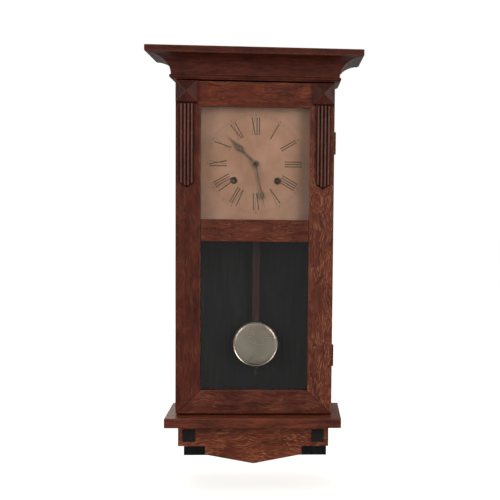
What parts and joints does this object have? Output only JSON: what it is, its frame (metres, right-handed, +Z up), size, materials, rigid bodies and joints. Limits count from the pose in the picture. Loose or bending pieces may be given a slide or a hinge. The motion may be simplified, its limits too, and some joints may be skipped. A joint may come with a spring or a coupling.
{
  "type": "pendulum wall clock",
  "caption": "Mission style wall clock: oak case with a flared crown, a two-light door, a square roman dial, and a wooden stick pendulum with a brass disc bob.",
  "frame": {"origin": "axis of the hands, on the wall plane that the back board lies on", "axes": "+Y into the wall, +Z up, +X to the right as seen from the front"},
  "size_m": [0.389, 0.1655, 0.7731],
  "materials": {
    "blued_steel": "dark blued",
    "bob_brass": "spun and lacquered, dulled",
    "brass": "lacquered, satin",
    "cast_iron": "black japanned",
    "dark_board": "black-brown stain, matt",
    "dial_enamel": "aged cream paint",
    "ebonised_wood": "black stain, satin",
    "hinge_brass": "tarnished",
    "stained_oak": "dark red-brown stain with a satin varnish",
    "steel": "plain, oiled",
    "stick_wood": "dark stained, satin",
    "window_glass": "clear, thin"
  },
  "bodies": {
    "case": {"apron_board": "stained_oak", "apron_return_left": "stained_oak", "apron_return_right": "stained_oak", "apron_stud_left": "ebonised_wood", "apron_stud_right": "ebonised_wood", "back_board": "dark_board", "base_shelf": "stained_oak", "case_side_left": "stained_oak", "case_side_right": "stained_oak", "case_top": "stained_oak", "crown_front": "stained_oak", "crown_left": "stained_oak", "crown_right": "stained_oak", "dial_frame": "dark_board", "dial_plate": "dial_enamel", "hanger_plate": "steel", "hinge_case_leaf_lower": "hinge_brass", "hinge_case_leaf_upper": "hinge_brass", "movement_back_plate": "brass", "movement_front_plate": "brass", "rod_gong": "cast_iron"},
    "door": {"corner_block_left": "stained_oak", "corner_block_right": "stained_oak", "door_rail_bottom": "stained_oak", "door_rail_middle": "stained_oak", "door_rail_top": "stained_oak", "door_stile_left": "stained_oak", "door_stile_right": "stained_oak", "glass_lower": "window_glass", "glass_stop_lower": "stained_oak", "glass_stop_upper": "stained_oak", "glass_upper": "window_glass", "hinge_door_leaf_lower": "hinge_brass", "hinge_door_leaf_upper": "hinge_brass", "reeded_drop_left": "stained_oak", "reeded_drop_right": "stained_oak"},
    "catch": {"catch_plunger": "brass"},
    "minute": {"cannon_pinion": "brass", "minute_hand": "blued_steel", "hand_nut": "brass"},
    "hour": {"hour_hand": "blued_steel", "hour_wheel": "brass"},
    "minute_wheel": {"minute_wheel": "brass"},
    "time_barrel": {"time_barrel": "brass"},
    "time_arbor": {"time_winding_arbor": "steel"},
    "strike_barrel": {"strike_barrel": "brass"},
    "strike_arbor": {"strike_winding_arbor": "steel"},
    "second_wheel": {"second_wheel": "brass"},
    "centre_wheel": {"centre_wheel": "brass"},
    "third_wheel": {"third_wheel": "brass"},
    "escape_wheel": {"escape_wheel": "brass"},
    "verge": {"verge": "steel"},
    "pin_wheel": {"pin_wheel": "brass"},
    "fly": {"fly": "brass"},
    "hammer": {"strike_hammer": "steel"},
    "pendulum": {"suspension_hook": "brass", "pendulum_stick": "stick_wood", "rating_screw": "brass"},
    "bob": {"bob": "bob_brass"},
    "rating_nut": {"rating_nut": "brass"}
  },
  "joints": [
    {"name": "door_swing", "type": "hinge", "parent": "case", "child": "door", "pos_m": [0.1462, -0.1003, -0.158], "axis": [0, 0, 1], "range_deg": [0, 180]},
    {"name": "catch_press", "type": "slide", "parent": "case", "child": "catch", "axis": [0, 1, 0], "range_m": [0, 0.0015], "stiffness_N_per_m": 150, "springref_m": -0.003},
    {"name": "minute_hand_turn", "type": "hinge", "parent": "case", "child": "minute", "pos_m": [0, -0.09, 0], "axis": [0, 1, 0], "continuous": true},
    {"name": "hour_hand_turn", "type": "hinge", "parent": "case", "child": "hour", "pos_m": [0, -0.09, 0], "axis": [0, 1, 0], "continuous": true},
    {"name": "minute_wheel_turn", "type": "hinge", "parent": "case", "child": "minute_wheel", "pos_m": [0, -0.076, -0.024], "axis": [0, 1, 0], "continuous": true},
    {"name": "time_winding", "type": "hinge", "parent": "case", "child": "time_arbor", "pos_m": [0.0405, -0.08, -0.031], "axis": [0, 1, 0], "range_deg": [0, 1440]},
    {"name": "strike_winding", "type": "hinge", "parent": "case", "child": "strike_arbor", "pos_m": [-0.0405, -0.08, -0.031], "axis": [0, 1, 0], "range_deg": [0, 1440]},
    {"name": "third_wheel_turn", "type": "hinge", "parent": "case", "child": "third_wheel", "pos_m": [-0.01342, -0.055, 0.01759], "axis": [0, 1, 0], "continuous": true},
    {"name": "centre_wheel_turn", "type": "hinge", "parent": "case", "child": "centre_wheel", "pos_m": [0, -0.062, 0], "axis": [0, 1, 0], "continuous": true},
    {"name": "second_wheel_turn", "type": "hinge", "parent": "case", "child": "second_wheel", "pos_m": [0.02169, -0.066, -0.01136], "axis": [0, 1, 0], "continuous": true},
    {"name": "time_barrel_turn", "type": "hinge", "parent": "case", "child": "time_barrel", "pos_m": [0.0405, -0.05, -0.031], "axis": [0, 1, 0], "continuous": true},
    {"name": "escape_wheel_turn", "type": "hinge", "parent": "case", "child": "escape_wheel", "pos_m": [0, -0.046, 0.025], "axis": [0, 1, 0], "continuous": true},
    {"name": "pendulum_swing", "type": "hinge", "parent": "case", "child": "pendulum", "pos_m": [0, -0.032, 0.044], "axis": [0, 1, 0], "range_deg": [-4, 4]},
    {"name": "verge_rock", "type": "hinge", "parent": "case", "child": "verge", "pos_m": [0, -0.046, 0.044], "axis": [0, 1, 0], "range_deg": [-4, 4]},
    {"name": "bob_height", "type": "slide", "parent": "pendulum", "child": "bob", "axis": [0, 0, 1], "range_m": [-0.0035, 0.0035]},
    {"name": "rating_nut_turn", "type": "hinge", "parent": "bob", "child": "rating_nut", "pos_m": [0, -0.032, -0.3909], "axis": [0, 0, 1], "range_deg": [-1802, 1802]},
    {"name": "pin_wheel_turn", "type": "hinge", "parent": "case", "child": "pin_wheel", "pos_m": [-0.02169, -0.066, -0.01136], "axis": [0, 1, 0], "continuous": true},
    {"name": "strike_barrel_turn", "type": "hinge", "parent": "case", "child": "strike_barrel", "pos_m": [-0.0405, -0.05, -0.031], "axis": [0, 1, 0], "continuous": true},
    {"name": "fly_turn", "type": "hinge", "parent": "case", "child": "fly", "pos_m": [-0.0304, -0.05, 0.00734], "axis": [0, 1, 0], "continuous": true},
    {"name": "hammer_lift", "type": "hinge", "parent": "case", "child": "hammer", "pos_m": [-0.052, -0.058, 0.014], "axis": [0, 1, 0], "range_deg": [0, 18]}
  ],
  "couplings": [
    {"joint": "hour_hand_turn", "follows": "minute_hand_turn", "ratio": 0.083333},
    {"joint": "minute_wheel_turn", "follows": "minute_hand_turn", "ratio": -0.33333},
    {"joint": "time_barrel_turn", "follows": "centre_wheel_turn", "ratio": 0.017778},
    {"joint": "second_wheel_turn", "follows": "centre_wheel_turn", "ratio": -0.13333},
    {"joint": "third_wheel_turn", "follows": "centre_wheel_turn", "ratio": -10.286},
    {"joint": "escape_wheel_turn", "follows": "centre_wheel_turn", "ratio": 96.98},
    {"joint": "verge_rock", "follows": "pendulum_swing", "ratio": 1},
    {"joint": "rating_nut_turn", "follows": "bob_height", "rad_per_m": 8976},
    {"joint": "strike_barrel_turn", "follows": "pin_wheel_turn", "ratio": -0.13333},
    {"joint": "fly_turn", "follows": "pin_wheel_turn", "ratio": -6.8571}
  ]
}
